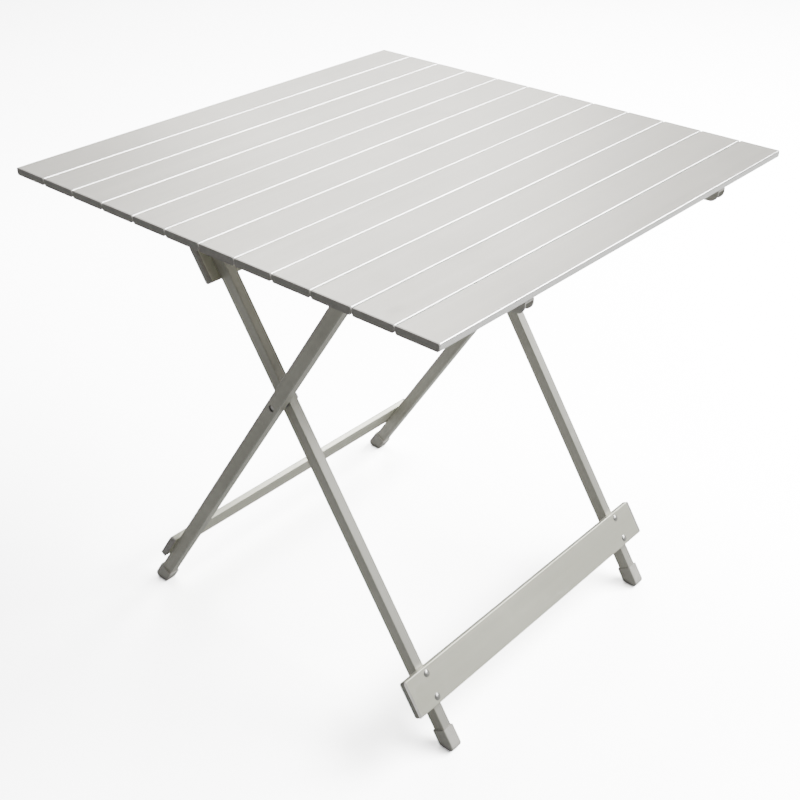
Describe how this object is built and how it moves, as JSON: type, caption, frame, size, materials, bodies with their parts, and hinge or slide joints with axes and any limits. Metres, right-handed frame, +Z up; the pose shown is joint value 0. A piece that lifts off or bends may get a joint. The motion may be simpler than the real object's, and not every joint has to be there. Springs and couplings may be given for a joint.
{
  "type": "folding picnic table",
  "caption": "Square folding picnic table with a slatted aluminium top on two crossed leg frames with grey plastic feet.",
  "frame": {"origin": "on the floor under the middle of the table top, with the table standing open", "axes": "+Z up, +Y along the slats, +X across the slats"},
  "size_m": [0.7028, 0.7, 0.6945],
  "materials": {
    "slat_aluminium": "satin anodised, fine grain along the slats",
    "rail_aluminium": "satin anodised",
    "leg_aluminium": "satin anodised",
    "stretcher_aluminium": "satin anodised",
    "bar_aluminium": "satin anodised",
    "bracket_steel": "zinc plated",
    "rivet_steel": "bare",
    "bolt_steel": "zinc plated",
    "cap_plastic": "matt grey",
    "foot_plastic": "matt grey",
    "hook_plastic": "matt dark grey",
    "spacer_plastic": "matt black"
  },
  "bodies": {
    "inner_frame": {"inner_leg_front": "leg_aluminium", "inner_leg_back": "leg_aluminium", "inner_leg_plugs": "cap_plastic", "inner_foot_front": "foot_plastic", "inner_foot_back": "foot_plastic", "inner_low_stretcher": "stretcher_aluminium", "inner_high_stretcher": "stretcher_aluminium", "inner_stretcher_caps": "cap_plastic", "inner_stretcher_rivets": "rivet_steel", "pivot_bolt_front": "bolt_steel", "pivot_bolt_back": "bolt_steel", "pivot_nut_front": "bolt_steel", "pivot_nut_back": "bolt_steel", "hinge_bolt_front": "bolt_steel", "hinge_bolt_back": "bolt_steel", "hinge_nut_front": "bolt_steel", "hinge_nut_back": "bolt_steel", "pivot_spacer_front": "spacer_plastic", "pivot_spacer_back": "spacer_plastic", "hinge_spacer_front": "spacer_plastic", "hinge_spacer_back": "spacer_plastic"},
    "outer_frame": {"outer_leg_front": "leg_aluminium", "outer_leg_back": "leg_aluminium", "outer_leg_plugs": "cap_plastic", "pivot_bush_front": "spacer_plastic", "pivot_bush_back": "spacer_plastic", "outer_foot_front": "foot_plastic", "outer_foot_back": "foot_plastic", "outer_low_stretcher": "stretcher_aluminium", "outer_stretcher_caps": "cap_plastic", "outer_stretcher_rivets": "rivet_steel", "outer_top_bar": "bar_aluminium", "bar_plugs": "spacer_plastic", "bar_screws": "bolt_steel"},
    "top": {"slat_01": "slat_aluminium", "slat_02": "slat_aluminium", "slat_03": "slat_aluminium", "slat_04": "slat_aluminium", "slat_05": "slat_aluminium", "slat_06": "slat_aluminium", "slat_07": "slat_aluminium", "slat_08": "slat_aluminium", "slat_09": "slat_aluminium", "slat_10": "slat_aluminium", "slat_11": "slat_aluminium", "slat_12": "slat_aluminium", "slat_caps_front": "cap_plastic", "slat_caps_back": "cap_plastic", "rail_front": "rail_aluminium", "rail_back": "rail_aluminium", "slat_rivets_front": "rivet_steel", "slat_rivets_back": "rivet_steel", "hinge_bracket_front": "bracket_steel", "hinge_bracket_back": "bracket_steel", "bracket_rivets_front": "rivet_steel", "bracket_rivets_back": "rivet_steel", "latch_hook_front": "hook_plastic", "latch_hook_back": "hook_plastic", "hook_rivets_front": "rivet_steel", "hook_rivets_back": "rivet_steel"}
  },
  "joints": [
    {"name": "leg_scissor", "type": "hinge", "parent": "inner_frame", "child": "outer_frame", "pos_m": [0, 0, 0.43253], "axis": [0, -1, 0], "range_deg": [0, 66]},
    {"name": "top_tilt", "type": "hinge", "parent": "inner_frame", "child": "top", "pos_m": [-0.13924, 0, 0.6437], "axis": [0, -1, 0], "range_deg": [0, 33]}
  ],
  "couplings": [
    {"joint": "top_tilt", "follows": "leg_scissor", "ratio": 0.5}
  ]
}
